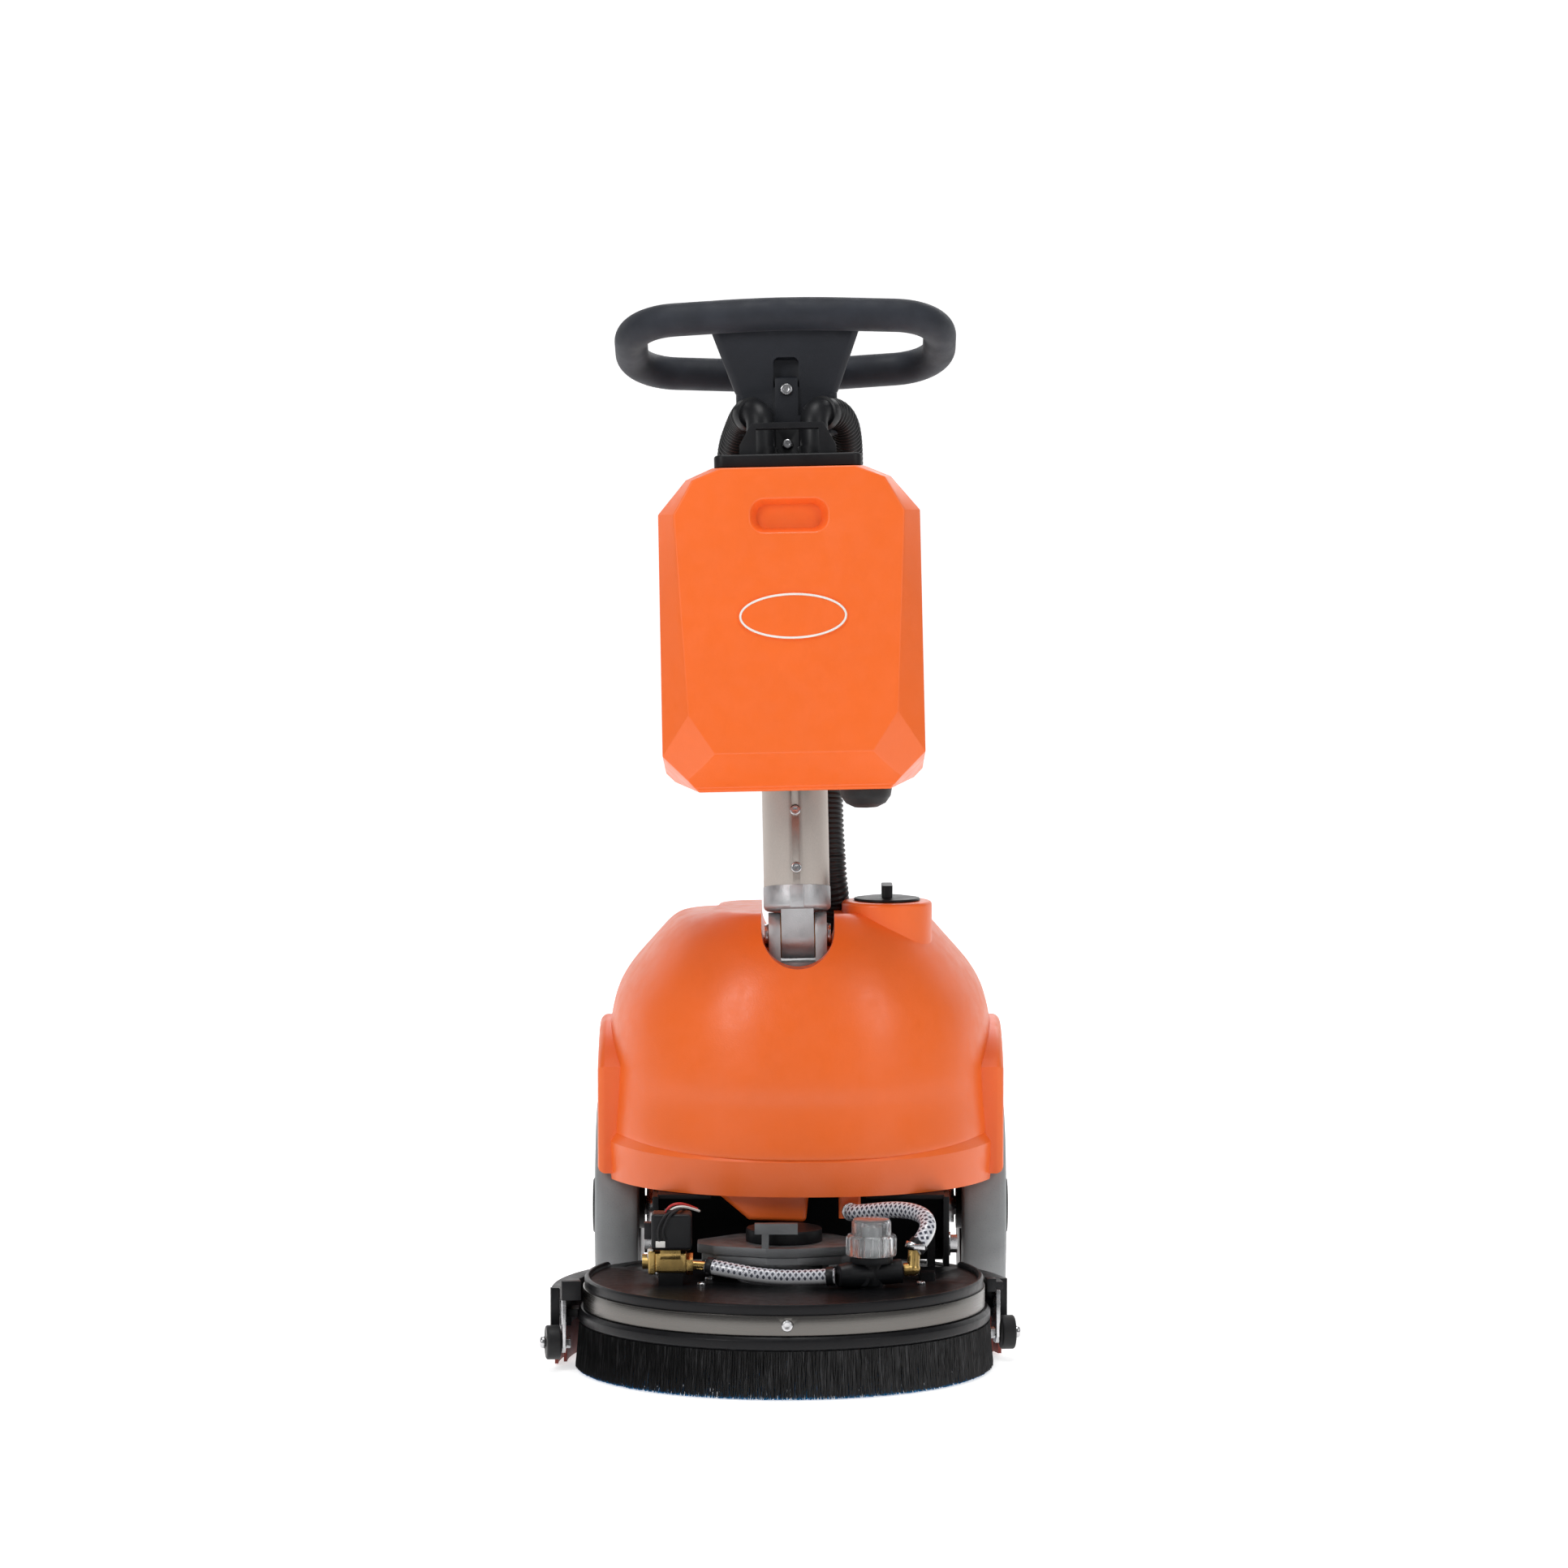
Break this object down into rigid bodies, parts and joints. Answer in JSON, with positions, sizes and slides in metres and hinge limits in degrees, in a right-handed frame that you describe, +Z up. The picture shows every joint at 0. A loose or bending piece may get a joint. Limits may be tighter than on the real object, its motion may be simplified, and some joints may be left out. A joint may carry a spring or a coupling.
{
  "type": "wet dry floor scrubber",
  "caption": "Compact walk-behind wet dry floor scrubber: round disc-brush deck with squeegee ring, wheeled base water tank, folding column with recovery tank and ring handle.",
  "frame": {"origin": "middle of the footprint, on the floor", "axes": "+Z up; the brush deck is at the front, towards -Y; +X is to the right of someone who stands in front and looks at the machine"},
  "size_m": [0.4788, 0.6362, 1.0611],
  "materials": {
    "orange_shell": "satin moulded",
    "black_steel": "powder coated",
    "black_plastic": "satin",
    "grip_foam": "soft",
    "grey_tyre": "matte",
    "black_rubber": "matte",
    "red_rubber": "matte",
    "stainless": "brushed",
    "zinc": "plated",
    "champagne": "brushed",
    "cast_alloy": "cast",
    "bronze": "worn",
    "brass": "machined",
    "clear_plastic": "clear",
    "braided_hose": "braided",
    "wire": "satin",
    "blue_bristle": "bristle",
    "black_bristle": "bristle",
    "battery_case": "satin",
    "display": "gloss",
    "button_green": "gloss",
    "button_blue": "gloss",
    "button_grey": "gloss"
  },
  "bodies": {
    "chassis": {"base_frame": "black_steel", "wheel_axle": "zinc", "hinge_yoke": "cast_alloy", "fold_pin": "zinc", "thrust_washers": "bronze", "clean_water_tank": "orange_shell", "battery_pack": "battery_case", "controller_box": "cast_alloy", "float_bolts": "zinc"},
    "wheel_left": {"tyre_left": "grey_tyre", "rim_left": "black_plastic"},
    "wheel_right": {"tyre_right": "grey_tyre", "rim_right": "black_plastic"},
    "filler": {"filler_cap": "black_plastic"},
    "deck": {"deck_pan": "black_steel", "deck_cover": "black_steel", "deck_band": "stainless", "deck_screws": "zinc", "gearbox": "cast_alloy", "brush_motor": "black_steel", "valve_body": "brass", "valve_coil": "black_plastic", "valve_wires": "wire", "supply_hose": "braided_hose", "feed_hose": "braided_hose", "hose_clamps": "black_plastic", "filter_head": "black_plastic", "filter_bowl": "clear_plastic", "filter_strainer": "stainless", "brass_elbow": "brass"},
    "brush": {"brush_disc": "black_plastic", "brush_bristles": "blue_bristle"},
    "squeegee": {"squeegee_ring": "black_plastic", "ring_skirt": "black_bristle", "squeegee_channel": "black_plastic", "squeegee_blades": "red_rubber", "end_plates": "zinc"},
    "roller_left": {"roller_left": "black_rubber"},
    "roller_right": {"roller_right": "black_rubber"},
    "column": {"column_tube": "champagne", "column_collar": "cast_alloy", "column_screws": "zinc", "tank_cradle": "black_plastic", "vacuum_housing": "black_plastic", "return_hose": "black_rubber", "suction_hose": "black_rubber", "suction_hose_lower": "black_rubber", "handle_grip": "grip_foam", "handle_console": "black_plastic", "control_panel": "black_plastic", "display_lens": "display", "tank_lid": "black_plastic", "lid_bracket": "black_plastic", "lid_elbows": "black_plastic"},
    "recovery": {"recovery_tank": "orange_shell"},
    "drain": {"drain_cap": "black_rubber"},
    "button_a": {"button_brush": "button_green"},
    "button_b": {"button_water": "button_blue"},
    "button_c": {"button_suction": "button_grey"},
    "lever": {"dead_man_lever": "black_plastic"}
  },
  "joints": [
    {"name": "wheel_left_spin", "type": "hinge", "parent": "chassis", "child": "wheel_left", "pos_m": [-0.16822, 0.18733, 0.118], "axis": [1, 0, 0], "continuous": true},
    {"name": "wheel_right_spin", "type": "hinge", "parent": "chassis", "child": "wheel_right", "pos_m": [0.20778, 0.18733, 0.118], "axis": [1, 0, 0], "continuous": true},
    {"name": "filler_cap_turn", "type": "hinge", "parent": "chassis", "child": "filler", "pos_m": [0.10779, 0.07733, 0.44], "axis": [0, 0, 1], "range_deg": [0, 90]},
    {"name": "deck_float", "type": "hinge", "parent": "chassis", "child": "deck", "pos_m": [0.01979, -0.01267, 0.107], "axis": [1, 0, 0], "range_deg": [-3, 2], "deforming": ["feed_hose"]},
    {"name": "brush_spin", "type": "hinge", "parent": "deck", "child": "brush", "pos_m": [0.00279, -0.11267, 0.06], "axis": [0, 0, 1], "continuous": true},
    {"name": "squeegee_swing", "type": "hinge", "parent": "deck", "child": "squeegee", "pos_m": [0.00279, -0.11267, 0.053], "axis": [0, 0, 1], "range_deg": [-22, 8]},
    {"name": "roller_left_spin", "type": "hinge", "parent": "squeegee", "child": "roller_left", "pos_m": [-0.22751, -0.141, 0.0275], "axis": [0.9903, 0.1392, 0], "continuous": true},
    {"name": "roller_right_spin", "type": "hinge", "parent": "squeegee", "child": "roller_right", "pos_m": [0.22603, -0.07726, 0.0275], "axis": [0.9903, 0.1392, 0], "continuous": true},
    {"name": "column_fold", "type": "hinge", "parent": "chassis", "child": "column", "pos_m": [0.01679, 0.03733, 0.415], "axis": [0.9998, 0, 0.0209], "range_deg": [-35, 8], "deforming": ["suction_hose_lower"]},
    {"name": "recovery_tank_slide", "type": "slide", "parent": "column", "child": "recovery", "axis": [-0.0036, -0.9848, 0.1736], "range_m": [0, 0.22]},
    {"name": "drain_cap_turn", "type": "hinge", "parent": "recovery", "child": "drain", "pos_m": [0.08453, -0.0329, 0.571], "axis": [-0.0209, 0, 0.9998], "range_deg": [0, 90]},
    {"name": "dead_man_lever_pull", "type": "hinge", "parent": "column", "child": "lever", "pos_m": [0.00535, 0.16608, 0.96082], "axis": [0.9998, 0, 0.0209], "range_deg": [0, 8]},
    {"name": "button_a_press", "type": "slide", "parent": "column", "child": "button_a", "axis": [0.019, -0.4226, -0.9061], "range_m": [0, 0.002], "stiffness_N_per_m": 400},
    {"name": "button_b_press", "type": "slide", "parent": "column", "child": "button_b", "axis": [0.019, -0.4226, -0.9061], "range_m": [0, 0.002], "stiffness_N_per_m": 400},
    {"name": "button_c_press", "type": "slide", "parent": "column", "child": "button_c", "axis": [0.019, -0.4226, -0.9061], "range_m": [0, 0.002], "stiffness_N_per_m": 400}
  ]
}
